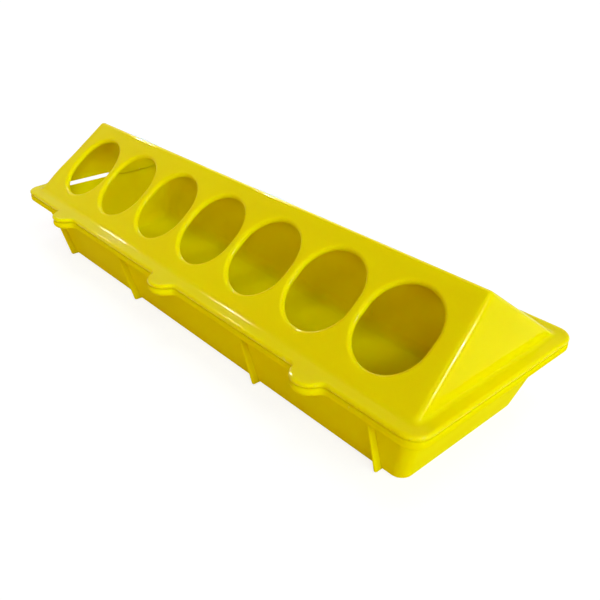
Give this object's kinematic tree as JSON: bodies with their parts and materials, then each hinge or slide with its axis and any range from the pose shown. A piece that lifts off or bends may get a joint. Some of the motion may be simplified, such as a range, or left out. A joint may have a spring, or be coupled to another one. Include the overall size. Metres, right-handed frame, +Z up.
{
  "type": "trough feeder",
  "caption": "Chick feeder: a shallow plastic trough under a hinged ridge lid with a row of round-ended feeding holes in each slope.",
  "frame": {"origin": "on the ground under the middle of the trough", "axes": "+X along the feeder, -Y towards the side with the ears, +Z up"},
  "size_m": [0.4, 0.1462, 0.0914],
  "materials": {
    "yellow_plastic": "semi-gloss moulded polypropylene"
  },
  "bodies": {
    "trough": {"trough": "yellow_plastic"},
    "lid": {"lid": "yellow_plastic"}
  },
  "joints": [
    {"name": "lid_hinge", "type": "hinge", "parent": "trough", "child": "lid", "pos_m": [0, 0.069, 0.0459], "axis": [-1, 0, 0], "range_deg": [0, 170]}
  ]
}
